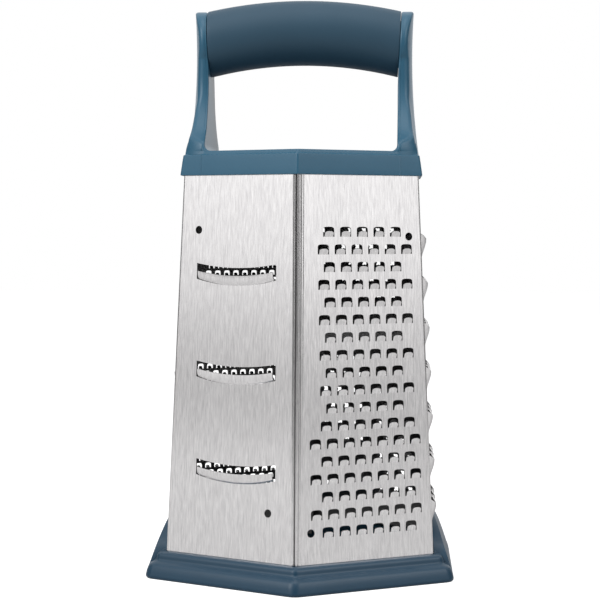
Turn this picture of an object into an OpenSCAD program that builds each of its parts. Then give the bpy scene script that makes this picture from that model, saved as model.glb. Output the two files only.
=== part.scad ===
// Six-sided box grater. Two bent and punched stainless sheets lock together at
// the front and back corners. A moulded handle frame caps them, a soft sleeve
// covers its bowed bar, and a soft ring on a hard carrier stands on the table.
// X runs along the handle, a corner points to -Y, and Z = 0 is the table.

/* [Body] */
// Width across the flats where the steel leaves the base ring
body_base_w = 106.4; // [100:0.5:112]
// Width across the flats where the steel enters the collar
body_top_w = 93.2; // [90:0.2:98]
// Height of steel that shows between the base ring and the collar
body_h = 149.7; // [130:0.1:170]
// Thickness of the stainless sheet
sheet_t = 0.5; // [0.4:0.05:0.7]
// Depth of steel held in the base groove
base_seat = 7; // [6.5:0.1:7.5]
// Depth of steel held in the collar
collar_seat = 5; // [4.5:0.1:6]
// Outer radius of the bend between two faces of a sheet
bend_r = 1.3; // [1:0.1:2]
// Outer radius of the rolled edge at each lock seam
seam_roll_r = 1.4; // [1:0.1:1.8]
// Outer radius of the hooked edge at each lock seam
seam_bead_r = 0.8; // [0.7:0.05:1.1]
// Depth of the lock seam inside the corner
seam_depth = 5; // [4.5:0.5:7]
// Diameter of the tooling holes
pilot_d = 3.2; // [2:0.1:4]

/* [Slicer faces] */
// Length of a slicing slot
slot_l = 37.6; // [30:0.2:42]
// Height of the open gap above a blade
slot_gap = 3.1; // [2:0.1:4]
// Width of a raised blade
blade_w = 3.7; // [3:0.1:5]
// Height that a blade stands proud of the sheet
blade_rise = 1.5; // [1:0.1:2]
// Distance from one slot to the next
slot_pitch = 38.6; // [30:0.2:45]
// Radius of a slot's smile
slot_bow_r = 105; // [80:1:200]
// Height of the lowest slot above the base ring
slot_low_v = 36.3; // [30:0.1:45]
// Sideways step from each slot to the one below it
slot_drift = 1.05; // [0:0.05:2]
// Length of the broad slot on the left side
broad_slot_l = 42; // [34:0.5:46]
// Height of the broad slot above the base ring
broad_slot_v = 72; // [40:0.5:110]

/* [Medium shredder face] */
// Width of a hole
medium_w = 4.9; // [4:0.1:5.5]
// Height of a hole
medium_h = 3.9; // [3:0.1:4.5]
// Height of the open gap above a tooth
medium_gap = 1.7; // [1:0.1:2]
// Height that a tooth stands proud
medium_rise = 1.1; // [0.8:0.1:1.5]
// Distance between holes along a row
medium_pitch_u = 7.4; // [7:0.1:9]
// Distance between rows
medium_pitch_v = 6.81; // [6.6:0.01:8]
// Height of the lowest row above the base ring
medium_low_v = 14; // [12:0.5:20]

/* [Coarse shredder face] */
// Width of a hole
coarse_w = 11.5; // [9:0.5:13]
// Height of a hole
coarse_h = 6.5; // [5:0.5:8]
// Height of the open gap above a tooth
coarse_gap = 2.3; // [2:0.1:4]
// Height that a tooth stands proud
coarse_rise = 2.2; // [1.5:0.1:3]
// Distance between holes along a row
coarse_pitch_u = 17.5; // [15:0.5:19]
// Distance between rows
coarse_pitch_v = 17.75; // [16:0.05:20]
// Height of the lowest row above the base ring
coarse_low_v = 20.6; // [20:0.1:25]

/* [Fine shredder face] */
// Width of a hole
fine_w = 3.3; // [2.5:0.1:3.6]
// Height of a hole
fine_h = 2.4; // [2:0.1:2.8]
// Height of the open gap above a tooth
fine_gap = 1; // [0.7:0.1:1.3]
// Height that a tooth stands proud
fine_rise = 0.7; // [0.5:0.1:1]
// Distance between holes along a row
fine_pitch_u = 4.7; // [4.5:0.1:6]
// Distance between rows
fine_pitch_v = 4.7; // [4.5:0.1:6]

/* [Zester face] */
// Width of a punched point
zest_w = 3; // [2:0.1:3.6]
// Height that a punched point stands proud
zest_rise = 1; // [0.5:0.1:1.5]
// Distance between points
zest_pitch = 7; // [6:0.5:9]

/* [Collar] */
// Height of the collar's band
band_h = 8.1; // [7.5:0.1:10]
// Thickness of the band's wall at its lower edge
band_wall = 1.3; // [1:0.05:2.5]
// Height of the inset edge above the band
brim_h = 1.6; // [1:0.1:2]
// Thickness of the inner rib that backs the steel
rib_t = 1.8; // [1.2:0.1:2.5]

/* [Handle] */
// Width between the posts at the collar
hand_gap_w = 76.6; // [72:0.2:79]
// Width over the posts at their waist
post_span = 88.3; // [86:0.1:92]
// Height of the posts above the collar's band
post_h = 59.5; // [52:0.1:66]
// Radius of the hollow sweep down each post
post_sweep_r = 290; // [240:1:340]
// Radius of the crown across each post's outer side
post_crown_r = 40; // [34:1:44]
// Depth of a post from front to back above its foot
post_depth = 25.4; // [22:0.2:28]
// Depth of a post under its ear
neck_depth = 25; // [20:0.5:27]
// Radius of the hollow sweep from a post's front edge into the collar
foot_sweep_r = 32; // [26:0.5:34]
// Radius of the round ear at each end of the grip
ear_r = 13.9; // [13:0.1:15]
// Radius of the fillet between a post and the deck
foot_fillet_r = 2.5; // [1.5:0.5:6]

/* [Grip] */
// Height of the grip's section
grip_h = 26.7; // [24:0.1:28]
// Depth of the grip's section
grip_d = 27.2; // [24:0.2:30]
// Radius of the grip's bow along its middle line
bow_r = 168; // [150:1:300]
// Height of the grip's ends above the middle of the ears
grip_rise = 0.8; // [0:0.1:4]
// Thickness of the soft sleeve
sleeve_t = 4; // [2:0.5:6]

/* [Base] */
// Distance that the base ring stands out beyond the foot of the steel
ring_out = 8.1; // [7:0.1:12]
// Height of the base ring on its front faces
ring_h = 10.3; // [9.8:0.1:13]
// Height that the side guards rise above the ring
guard_h = 12.5; // [8:0.5:18]
// Half length of a side guard where it meets the ring
guard_half_l = 28.5; // [24:0.5:29]
// Radius of the guard's flared side
guard_flare_r = 180; // [100:5:300]
// Thickness of the soft sole under the carrier
sole_t = 1.6; // [1:0.1:2.2]
// Width of the hard carrier's outer wall
carrier_wall = 2.2; // [1.6:0.1:3]
// Width of the hard carrier's inner wall
carrier_rib = 2.2; // [1.5:0.1:3]

/* [Hidden] */
$fn = 64;
steel_color = [0.80, 0.80, 0.80];
frame_color = [0.31, 0.46, 0.56];
grip_color = [0.15, 0.27, 0.36];
ring_color = [0.27, 0.37, 0.45];

// Shared clearances and the overrun of every cut
slide_gap = 0.15;
mould_gap = 0.1;
seam_gap = 0.1;
end_gap = 0.35;
cut_over = 1;

// Body values: half widths across the flats, and the lean of faces and corners
base_half = body_base_w / 2;
top_half = body_top_w / 2;
taper = (base_half - top_half) / body_h;
corner_ratio = 2 / sqrt(3);
lean = atan(taper);
corner_lean = atan(taper * corner_ratio);
slant_h = body_h / cos(lean);
seat_low_v = -base_seat / cos(lean);
seat_high_v = slant_h + collar_seat / cos(lean);
body_top_z = ring_h + body_h;
steel_top_z = body_top_z + collar_seat;
steel_low_z = ring_h - base_seat;

// Seam values: slope of the faces in the plane square to the corner line
seam_slope = atan(
  cos(lean) * sin(30)
  / (cos(lean) * cos(30) * cos(corner_lean) + sin(lean) * sin(corner_lean))
);
seam_lap = 2 * sheet_t;
seam_steps = 6;
roll_cut = seam_roll_r / tan(45 - seam_slope / 2) + seam_lap / 2;
bead_cut = seam_bead_r / tan(45 - seam_slope / 2) + seam_lap / 2;
bend_cut = bend_r * tan(seam_slope) + seam_lap / 2;

// Snap windows near the hidden edges of every face
window_w = 8;
window_h = 1.8;
window_low_v = seat_low_v + base_seat / 2;
window_high_v = slant_h + collar_seat / 2;

// Places of the tooling holes as shares of the half width and of the height
slicer_pilot_shares = [[-0.69, 0.856], [0.577, 0.1275]];
shredder_pilot_shares = [[0.789, 0.84], [-0.785, 0.081]];
side_pilot_shares = [[-0.75, 0.9], [0.75, 0.06]];

// Margins that bound each pattern on its face
medium_top_margin = 19;
medium_left_margin = 8.05;
medium_right_margin = 6.1;
medium_shift = 2.2;
medium_tongue_w = 3.75;
medium_root = 1.6;
medium_corner = 1.2;
coarse_top_margin = 20;
coarse_side_margin = 4;
coarse_tongue_w = 9.6;
coarse_root = 4.3;
coarse_corner = 2.2;
fine_margin = 14;
fine_side_margin = 5;
fine_tongue_w = 2.5;
fine_root = 0.9;
zest_margin = 16;
zest_side_margin = 6;
zest_wall = 0.55;
blade_round_r = 75;

// Collar values
collar_half = top_half + slide_gap + band_wall;
band_top_z = body_top_z + band_h;
band_top_wall = 0.5;
band_top_half = half_at(band_top_z) + slide_gap + band_top_wall;
brim_step = 0.8;
brim_slope = 0.7;
brim_rise_share = 0.25;
deck_top_z = band_top_z + brim_h;
groove_top_z = steel_top_z + slide_gap;
rib_low_z = body_top_z + window_h / 2;

// Handle values
post_top_z = band_top_z + post_h;
ear_z = post_top_z - ear_r;
waist_half = post_span / 2;
waist_z = ear_z - ear_r / 3;
hand_half = hand_gap_w / 2;
grip_end_z = ear_z + grip_rise;
grip_lean = 2.8;
crown_center_x = waist_half - post_crown_r;
foot_y = post_depth / 2 + foot_sweep_r;
foot_z = deck_top_z + foot_sweep_r;
neck_z = max(ear_z, foot_z);
foot_shares = [
  [0.012, 0],
  [0.03, 0.1],
  [0.057, 0.2],
  [0.081, 0.325],
  [0.094, 0.45],
  [0.111, 0.6],
  [0.16, 0.8],
  [0.24, 0.95]
];
bow_drop = bow_r - sqrt(bow_r * bow_r - hand_half * hand_half);
bow_mid_z = grip_end_z + bow_drop;
bow_center_z = bow_mid_z - bow_r;
ear_round = 1.2;

// Base values
ring_half = base_half + ring_out;
lip_half = base_half + slide_gap + sheet_t;
ring_corner_cut = 0.4;
ring_profile_shares = [
  [0.94, 0],
  [1, 0.08],
  [1, 0.3],
  [0.95, 0.47],
  [0.82, 0.57],
  [0.6, 0.63],
  [0.4, 0.7],
  [0.26, 0.8],
  [0.2, 0.92],
  [0.14, 0.97],
  [0, 1]
];
rib_top_share = 0.91;
wall_top_share = 0.6;
rib_top_z = ring_h * rib_top_share;
wall_top_z = ring_h * wall_top_share;
carrier_half = half_at(sole_t) + slide_gap + carrier_wall;
carrier_floor_z = steel_low_z - slide_gap;
inner_half = base_half - sheet_t - slide_gap - carrier_rib;
guard_top_z = ring_h + guard_h;
guard_arch_r = (guard_half_l * guard_half_l + guard_h * guard_h) / (2 * guard_h);
guard_low_z = ring_h * ring_profile_shares[1][1];

// Half width of the steel across its flats at a height above the table
function half_at(z) = base_half - (z - ring_h) * taper;

// Half width of one face at a distance up its slope
function face_half(v) = (base_half - v * sin(lean)) / sqrt(3);

// Points of an arc about a centre
function arc(center, r, from, to, steps) = [
  for (i = [0:steps])
    let (a = from + (to - from) * i / steps)
      center + r * [cos(a), sin(a)]
];

// Places a child on a face: x along the face, y up its slope, z outward
module on_face(k) {
  rotate([0, 0, 60 * k])
    translate([base_half, 0, ring_h])
      rotate([0, -lean, 0])
        rotate([90, 0, 90])
          children();
}

// Places a child on the corner after face k: x outward, z up the corner line
module on_corner(k) {
  rotate([0, 0, 60 * k + 30])
    translate([base_half * corner_ratio, 0, ring_h])
      rotate([0, -corner_lean, 0])
        children();
}

// A hexagonal solid whose half width follows [half, z] points from low to high
module hex_solid(points) {
  last = len(points) - 1;
  outline = concat(
    points,
    [for (i = [0:last]) [-points[last - i][0], points[last - i][1]]]
  );
  intersection_for (k = [0:2])
    rotate([90, 0, 60 * k])
      linear_extrude(4 * ring_half, center = true)
        polygon(outline);
}

// A hexagonal solid that keeps a set distance outside the steel's outer faces
module hex_beside(gap, low_z, high_z) {
  hex_solid([
    [half_at(low_z) + gap, low_z],
    [half_at(high_z) + gap, high_z]
  ]);
}

// The flat outline of one face, short of its corners by the two cuts
module face_outline(start_cut, end_cut) {
  polygon([
    [start_cut - face_half(seat_low_v), seat_low_v],
    [face_half(seat_low_v) - end_cut, seat_low_v],
    [face_half(seat_high_v) - end_cut, seat_high_v],
    [start_cut - face_half(seat_high_v), seat_high_v]
  ]);
}

// One sheet face with snap windows, tooling holes and the cuts given as children
module sheet_face(k, start_cut, end_cut, pilot_shares) {
  on_face(k)
    translate([0, 0, -sheet_t])
      linear_extrude(sheet_t)
        difference() {
          face_outline(start_cut, end_cut);
          for (v = [window_low_v, window_high_v])
            translate([0, v])
              square([window_w, window_h], center = true);
          for (p = pilot_shares)
            translate([p[0] * face_half(p[1] * slant_h), p[1] * slant_h])
              circle(d = pilot_d, $fn = 24);
          children();
        }
}

// The rolled edge that ends a shell: it turns inward and runs into the hook
module seam_roll(k) {
  tangent = seam_roll_r / tan(45 - seam_slope / 2);
  joint = [-seam_gap / 2 * tan(seam_slope), -seam_gap / 2];
  along = [-sin(seam_slope), -cos(seam_slope)];
  inward = [-cos(seam_slope), sin(seam_slope)];
  center = joint - [tangent, seam_roll_r];
  reach = joint + (tangent + seam_lap) * along;
  on_corner(k)
    translate([0, 0, seat_low_v])
      linear_extrude(seat_high_v - seat_low_v)
        polygon(concat(
          [reach],
          arc(center, seam_roll_r, -seam_slope, 90, seam_steps),
          [[-seam_depth, joint[1]], [-seam_depth, joint[1] - sheet_t]],
          arc(center, seam_roll_r - sheet_t, 90, -seam_slope, seam_steps),
          [reach + sheet_t * inward]
        ));
}

// The hooked edge that starts a shell: it turns inward, under and back up
module seam_hook(k) {
  tangent = seam_bead_r / tan(45 - seam_slope / 2);
  joint = [-seam_gap / 2 * tan(seam_slope), seam_gap / 2];
  along = [-sin(seam_slope), cos(seam_slope)];
  inward = [-cos(seam_slope), -sin(seam_slope)];
  center = joint + [-tangent, seam_bead_r];
  reach = joint + (tangent + seam_lap) * along;
  floor_x = -seam_depth - seam_gap;
  back_y = -joint[1] - sheet_t - seam_gap;
  hook_x = floor_x + seam_depth / 3;
  on_corner(k)
    translate([0, 0, seat_low_v])
      linear_extrude(seat_high_v - seat_low_v)
        polygon(concat(
          [reach],
          arc(center, seam_bead_r, seam_slope, -90, seam_steps),
          [
            [floor_x, joint[1]],
            [floor_x, back_y],
            [hook_x, back_y],
            [hook_x, back_y - sheet_t],
            [floor_x - sheet_t, back_y - sheet_t],
            [floor_x - sheet_t, joint[1] + sheet_t]
          ],
          arc(center, seam_bead_r - sheet_t, -90, seam_slope, seam_steps),
          [reach + sheet_t * inward]
        ));
}

// The bend that joins two faces of one sheet
module sheet_bend(k) {
  center = [-bend_r / cos(seam_slope), 0];
  far = bend_r * tan(seam_slope) + seam_lap;
  right = far * [-sin(seam_slope), cos(seam_slope)];
  left = far * [-sin(seam_slope), -cos(seam_slope)];
  on_corner(k)
    translate([0, 0, seat_low_v])
      linear_extrude(seat_high_v - seat_low_v)
        polygon(concat(
          [right],
          arc(center, bend_r, seam_slope, -seam_slope, seam_steps),
          [left, left - sheet_t * [cos(seam_slope), -sin(seam_slope)]],
          arc(center, bend_r - sheet_t, -seam_slope, seam_slope, seam_steps),
          [right - sheet_t * [cos(seam_slope), sin(seam_slope)]]
        ));
}

// A flat-topped hole with two cut corners, its top edge at the origin
module shred_hole(w, h, corner) {
  polygon([
    [-w / 2, -h],
    [w / 2, -h],
    [w / 2, -corner],
    [w / 2 - corner, 0],
    [corner - w / 2, 0],
    [-w / 2, -corner]
  ]);
}

// A tongue that rises from below the hole to its cutting edge
module shred_tooth(w, h, gap, root, rise) {
  translate([-w / 2, 0, 0])
    rotate([90, 0, 90])
      linear_extrude(w)
        polygon([
          [-h - root, -sheet_t / 2],
          [-h, -sheet_t / 2],
          [-gap, rise - sheet_t],
          [-gap, rise]
        ]);
}

// Places of the medium holes: odd rows sit a third of a pitch to the right
medium_rows = floor((slant_h - medium_low_v - medium_top_margin) / medium_pitch_v);
medium_places = [
  for (r = [0:medium_rows], c = [-4:4])
    let (
      v = medium_low_v + r * medium_pitch_v,
      u = medium_shift + (c + 0.5 + (r % 2) / 3) * medium_pitch_u
    )
      if (u > medium_left_margin - face_half(v) && u < face_half(v) - medium_right_margin)
        [u, v]
];

// Places of the coarse holes in level rows
coarse_rows = floor((slant_h - coarse_low_v - coarse_top_margin) / coarse_pitch_v);
coarse_places = [
  for (r = [0:coarse_rows], c = [-1:1])
    let (v = coarse_low_v + r * coarse_pitch_v, u = c * coarse_pitch_u)
      if (abs(u) + coarse_w / 2 < face_half(v) - coarse_side_margin / 2)
        [u, v]
];

// Places of a staggered pattern that fills a face inside its margins
function fill_places(pitch_u, pitch_v, end_margin, side_margin) = [
  for (
    r = [0:floor((slant_h - 2 * end_margin) / pitch_v)],
    c = [-floor(face_half(0) / pitch_u):floor(face_half(0) / pitch_u)]
  )
    let (v = end_margin + r * pitch_v, u = (c + (r % 2) / 2) * pitch_u)
      if (abs(u) < face_half(v) - side_margin)
        [u, v]
];
fine_places = fill_places(fine_pitch_u, fine_pitch_v, fine_margin, fine_side_margin);
zest_places = fill_places(zest_pitch, zest_pitch, zest_margin, zest_side_margin);

// The opening of a slicing slot: the gap and the strip that is pressed outward
module slot_cut(l) {
  blade_region(l, slot_gap + blade_w, 0);
}

// A strip between a flat smile above and a rounder one below
module blade_region(l, high, drop) {
  steps = 12;
  span = asin(l / 2 / slot_bow_r);
  low_span = asin(l / 2 / blade_round_r);
  polygon(concat(
    arc([0, slot_bow_r - drop], slot_bow_r, -90 - span, -90 + span, steps),
    arc(
      [0, blade_round_r - high],
      blade_round_r, -90 + low_span, -90 - low_span, steps
    )
  ));
}

// The blade: a strip pressed outward, joined to the sheet along its lower edge
module blade(l) {
  clear_l = l - 2 * blade_rise;
  high = slot_gap + blade_w;
  span = asin(clear_l / 2 / blade_round_r);
  translate([0, 0, blade_rise - sheet_t])
    linear_extrude(sheet_t)
      blade_region(clear_l, high, slot_gap);
  translate([0, 0, -sheet_t])
    linear_extrude(blade_rise + sheet_t)
      polygon(concat(
        arc([0, blade_round_r - high - sheet_t], blade_round_r, -90 - span, -90 + span, 12),
        arc([0, blade_round_r - high + sheet_t], blade_round_r, -90 + span, -90 - span, 12)
      ));
}

module slicer_face(k, start_cut, end_cut) {
  slots = [for (i = [0:2]) [(2 - i) * slot_drift - slot_drift / 2, slot_low_v + i * slot_pitch]];
  sheet_face(k, start_cut, end_cut, slicer_pilot_shares)
    for (p = slots)
      translate(p)
        slot_cut(slot_l);
  on_face(k)
    for (p = slots)
      translate([p[0], p[1], 0])
        blade(slot_l);
}

module broad_slicer_face(k) {
  sheet_face(k, bend_cut, bend_cut, side_pilot_shares)
    translate([0, broad_slot_v])
      slot_cut(broad_slot_l);
  on_face(k)
    translate([0, broad_slot_v, 0])
      blade(broad_slot_l);
}

module zester_face(k, start_cut, end_cut) {
  sheet_face(k, start_cut, end_cut, side_pilot_shares)
    for (p = zest_places)
      translate(p)
        rotate(45)
          square(zest_w / sqrt(2) - zest_wall, center = true);
  on_face(k)
    for (p = zest_places)
      translate([p[0], p[1], -sheet_t / 2])
        rotate([0, 0, 45])
          linear_extrude(zest_rise + sheet_t / 2)
            difference() {
              square(zest_w / sqrt(2), center = true);
              square(zest_w / sqrt(2) - zest_wall, center = true);
            }
}

module medium_face(k, start_cut, end_cut) {
  sheet_face(k, start_cut, end_cut, shredder_pilot_shares)
    for (p = medium_places)
      translate(p)
        shred_hole(medium_w, medium_h, medium_corner);
  on_face(k)
    for (p = medium_places)
      translate([p[0], p[1], 0])
        shred_tooth(medium_tongue_w, medium_h, medium_gap, medium_root, medium_rise);
}

module coarse_face(k) {
  sheet_face(k, bend_cut, bend_cut, side_pilot_shares)
    for (p = coarse_places)
      translate(p)
        shred_hole(coarse_w, coarse_h, coarse_corner);
  on_face(k)
    for (p = coarse_places)
      translate([p[0], p[1], 0])
        shred_tooth(coarse_tongue_w, coarse_h, coarse_gap, coarse_root, coarse_rise);
}

module fine_face(k, start_cut, end_cut) {
  sheet_face(k, start_cut, end_cut, side_pilot_shares)
    for (p = fine_places)
      translate(p - [fine_w / 2, fine_h])
        square([fine_w, fine_h]);
  on_face(k)
    for (p = fine_places)
      translate([p[0], p[1], 0])
        shred_tooth(fine_tongue_w, fine_h, fine_gap, fine_root, fine_rise);
}

// The left sheet: fine shredder behind, broad slicer at the side, slicer in front
module left_shell() {
  color(steel_color) {
    fine_face(2, bead_cut, bend_cut);
    broad_slicer_face(3);
    slicer_face(4, bend_cut, roll_cut);
    sheet_bend(2);
    sheet_bend(3);
    seam_hook(1);
    seam_roll(4);
  }
}

// The right sheet: medium shredder in front, coarse at the side, zester behind
module right_shell() {
  color(steel_color) {
    medium_face(5, bead_cut, bend_cut);
    coarse_face(0);
    zester_face(1, bend_cut, roll_cut);
    sheet_bend(5);
    sheet_bend(0);
    seam_hook(4);
    seam_roll(1);
  }
}

// Pegs that snap through the windows of the steel
module snap_pegs(v) {
  peg_w = window_w - 2 * slide_gap;
  peg_h = window_h - 2 * slide_gap;
  for (k = [0:5])
    on_face(k)
      translate([-peg_w / 2, v - peg_h / 2, -sheet_t - slide_gap / 2])
        cube([peg_w, peg_h, sheet_t + 2 * slide_gap]);
}

// The collar: a band round the steel, a closed deck and a rib inside the steel
module collar() {
  difference() {
    hex_solid([
      [collar_half, body_top_z],
      [band_top_half, band_top_z],
      [band_top_half - brim_step, band_top_z + brim_h * brim_rise_share],
      [band_top_half - brim_step - brim_slope, deck_top_z]
    ]);
    hex_beside(slide_gap, body_top_z - cut_over, groove_top_z);
  }
  difference() {
    hex_beside(-sheet_t - slide_gap, rib_low_z, groove_top_z + slide_gap);
    hex_beside(-sheet_t - slide_gap - rib_t, rib_low_z - cut_over, groove_top_z);
  }
  snap_pegs(window_high_v);
}

// The right post seen from the front: swept outside, straight inside
module post_front() {
  sweep_c = [waist_half + post_sweep_r, waist_z];
  foot_a = asin((waist_z - band_top_z) / post_sweep_r);
  tip_a = asin((post_top_z - ear_round - waist_z) / post_sweep_r);
  ear_x = waist_half + post_sweep_r * (1 - cos(tip_a));
  in_x = hand_half + (post_top_z - grip_end_z + grip_h / 2) * tan(grip_lean);
  polygon(concat(
    arc(sweep_c, post_sweep_r, 180 + foot_a, 180 - tip_a, 10),
    [
      [ear_x - ear_round, post_top_z],
      [in_x, post_top_z],
      [hand_half, grip_end_z - grip_h / 2]
    ],
    arc(
      [hand_half - foot_fillet_r, deck_top_z + foot_fillet_r],
      foot_fillet_r, 0, -90, 6
    ),
    [[hand_half - foot_fillet_r, band_top_z]]
  ));
}

// A post seen from the side: a foot swept into the collar, a strap and a round ear
module post_side() {
  polygon(concat(
    [[-foot_y, band_top_z], [foot_y, band_top_z]],
    arc([foot_y, foot_z], foot_sweep_r, -90, -180, 12),
    [[neck_depth / 2, neck_z], [-neck_depth / 2, neck_z]],
    arc([-foot_y, foot_z], foot_sweep_r, 0, -90, 12)
  ));
  translate([0, ear_z])
    circle(r = ear_r);
}

// The crowned outer side of a post: its sweep turned about an upright axis
module post_crown() {
  sweep_c = [waist_half + post_sweep_r, waist_z];
  low_a = asin((waist_z - band_top_z) / post_sweep_r);
  high_a = asin((post_top_z + cut_over - waist_z) / post_sweep_r);
  shift = [-crown_center_x, 0];
  translate([crown_center_x, 0, 0])
    rotate_extrude($fn = 128)
      polygon(concat(
        [for (p = arc(sweep_c, post_sweep_r, 180 + low_a, 180 - high_a, 10)) p + shift],
        [[0, post_top_z + cut_over], [0, band_top_z]]
      ));
}

// The foot of a post follows the collar's corners and fades into the crown
module post_foot() {
  hex_solid([
    for (p = foot_shares)
      [band_top_half - p[0] * foot_sweep_r, band_top_z + p[1] * foot_sweep_r]
  ]);
}

module post() {
  intersection() {
    rotate([90, 0, 0])
      linear_extrude(2 * ring_half, center = true)
        post_front();
    rotate([90, 0, 90])
      linear_extrude(ring_half)
        post_side();
    union() {
      post_crown();
      post_foot();
    }
  }
}

// A bowed bar of elliptic section, wide enough to reach into both posts
module bowed_bar(h, d) {
  sweep = 2 * asin(waist_half / bow_r);
  translate([0, 0, bow_center_z])
    rotate([90, 0, 0])
      rotate([0, 0, 90 - sweep / 2])
        rotate_extrude(angle = sweep, $fn = 96)
          translate([bow_r, 0])
            polygon([for (i = [0:31]) [h / 2 * cos(i * 11.25), d / 2 * sin(i * 11.25)]]);
}

// The space between the posts' inner faces, short of them by a gap
module between_posts(gap) {
  low_z = grip_end_z - grip_h;
  high_z = post_top_z + grip_h;
  low_half = hand_half + (low_z - grip_end_z + grip_h / 2) * tan(grip_lean) - gap;
  high_half = hand_half + (high_z - grip_end_z + grip_h / 2) * tan(grip_lean) - gap;
  rotate([90, 0, 0])
    linear_extrude(2 * ring_half, center = true)
      polygon([
        [-low_half, low_z],
        [low_half, low_z],
        [high_half, high_z],
        [-high_half, high_z]
      ]);
}

// The handle frame: collar, two posts and the bar under the soft sleeve
module handle_frame() {
  color(frame_color) {
    collar();
    post();
    mirror([1, 0, 0])
      post();
    intersection() {
      bowed_bar(grip_h - 2 * sleeve_t, grip_d - 2 * sleeve_t);
      between_posts(-sheet_t);
    }
  }
}

// The soft sleeve moulded over the bar
module grip_sleeve() {
  color(grip_color)
    difference() {
      intersection() {
        bowed_bar(grip_h, grip_d);
        between_posts(end_gap);
      }
      bowed_bar(grip_h - 2 * sleeve_t + 2 * mould_gap, grip_d - 2 * sleeve_t + 2 * mould_gap);
    }
}

// The hard carrier: a channel that takes the lower edge of the steel
module base_carrier() {
  color(frame_color) {
    difference() {
      hex_solid([[carrier_half, sole_t], [carrier_half, wall_top_z]]);
      hex_beside(slide_gap, carrier_floor_z, ring_h);
      hex_solid([[inner_half, sole_t - cut_over], [inner_half, ring_h]]);
    }
    difference() {
      hex_beside(-sheet_t - slide_gap, carrier_floor_z - sheet_t, rib_top_z);
      hex_solid([[inner_half, sole_t - cut_over], [inner_half, ring_h]]);
    }
    snap_pegs(window_low_v);
  }
}

// Outline of a side guard across its length: a flare from the table to its top
module guard_flare() {
  foot = [ring_half, guard_low_z];
  tip = [half_at(guard_top_z) + slide_gap + sheet_t, guard_top_z];
  chord = tip - foot;
  chord_l = norm(chord);
  chord_a = atan2(chord[1], chord[0]);
  half_a = asin(chord_l / 2 / guard_flare_r);
  middle = (foot + tip) / 2;
  back = guard_flare_r * cos(half_a);
  center = middle - back * [sin(chord_a), -cos(chord_a)];
  polygon(concat(
    arc(center, guard_flare_r, chord_a - 90 - half_a, chord_a - 90 + half_a, 8),
    [[base_half - carrier_rib, guard_top_z], [base_half - carrier_rib, guard_low_z]]
  ));
}

// The side guard that climbs the steel under a post
module side_guard() {
  intersection() {
    rotate([90, 0, 0])
      linear_extrude(2 * guard_half_l, center = true)
        guard_flare();
    translate([0, 0, guard_top_z - guard_arch_r])
      rotate([0, 90, 0])
        cylinder(r = guard_arch_r, h = 2 * ring_half);
  }
}

// The soft ring: a lip, a cove, a bulge and a sole, with a guard on each side
module base_ring() {
  color(ring_color)
    difference() {
      union() {
        intersection() {
          hex_solid([
            for (p = ring_profile_shares)
              [lip_half + p[0] * (ring_half - lip_half), p[1] * ring_h]
          ]);
          rotate([0, 0, 30])
            hex_solid([
              [ring_half * corner_ratio - ring_corner_cut, 0],
              [ring_half * corner_ratio - ring_corner_cut, ring_h]
            ]);
        }
        side_guard();
        mirror([1, 0, 0])
          side_guard();
      }
      hex_beside(slide_gap, carrier_floor_z, guard_top_z + cut_over);
      hex_solid([
        [carrier_half + mould_gap, sole_t],
        [carrier_half + mould_gap, wall_top_z + mould_gap]
      ]);
      hex_solid([[inner_half, -cut_over], [inner_half, ring_h]]);
    }
}

left_shell();
right_shell();
handle_frame();
grip_sleeve();
base_carrier();
base_ring();
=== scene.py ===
import math

import bmesh
import bpy
import numpy as np
from mathutils import Matrix, Vector


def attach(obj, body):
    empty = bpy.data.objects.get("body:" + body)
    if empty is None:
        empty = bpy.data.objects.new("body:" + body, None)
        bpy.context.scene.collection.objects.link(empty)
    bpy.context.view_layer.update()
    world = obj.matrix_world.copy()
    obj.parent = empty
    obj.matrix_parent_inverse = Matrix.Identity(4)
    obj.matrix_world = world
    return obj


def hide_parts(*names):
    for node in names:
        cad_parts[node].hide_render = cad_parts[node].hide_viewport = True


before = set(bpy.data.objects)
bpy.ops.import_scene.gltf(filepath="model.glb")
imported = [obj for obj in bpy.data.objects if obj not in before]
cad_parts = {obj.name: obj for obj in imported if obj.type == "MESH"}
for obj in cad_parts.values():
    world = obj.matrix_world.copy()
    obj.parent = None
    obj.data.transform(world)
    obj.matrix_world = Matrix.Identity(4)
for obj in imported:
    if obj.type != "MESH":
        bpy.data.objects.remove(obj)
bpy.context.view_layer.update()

# The camera of the photograph: about 0.76 m away, a little to the right of the
# front corner and level with the upper third of the steel. Its place and its
# turn, tilt and roll come from a fit to the six-sided body.
CAMERA_PLACE = (0.0367, -0.7591, 0.1413)
CAMERA_TURN, CAMERA_TILT, CAMERA_ROLL = np.radians([2.89, 87.608, 0.16])
camera = bpy.data.objects.new("photo_camera", bpy.data.cameras.new("photo_camera"))
camera.data.sensor_width = 36
camera.data.lens = 110.64
camera.matrix_world = (
    Matrix.Translation(CAMERA_PLACE)
    @ Matrix.Rotation(CAMERA_TURN, 4, "Z")
    @ Matrix.Rotation(CAMERA_TILT, 4, "X")
    @ Matrix.Rotation(CAMERA_ROLL, 4, "Z")
)
bpy.context.scene.collection.objects.link(camera)
bpy.context.scene.camera = camera
bpy.context.scene.view_settings.view_transform = "Standard"


# The left sheet: 0.5 mm stainless strip, bent twice into the slicer in front,
# the broad slicer at the side and the fine shredder behind. Its front edge is rolled
# in and its back edge hooked, so that the two sheets lock at both corners.
MM = 0.001
# Half widths across the flats at the ring and at the collar, the height between them,
# and how far the sheet goes on inside the ring and the collar
BASE_HALF = 53.2
TOP_HALF = 46.6
SHOWN_HEIGHT = 149.7
RING_TOP = 10.3
HIDDEN_LOW = 7.0
HIDDEN_HIGH = 5.0
SHEET = 0.5
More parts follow.
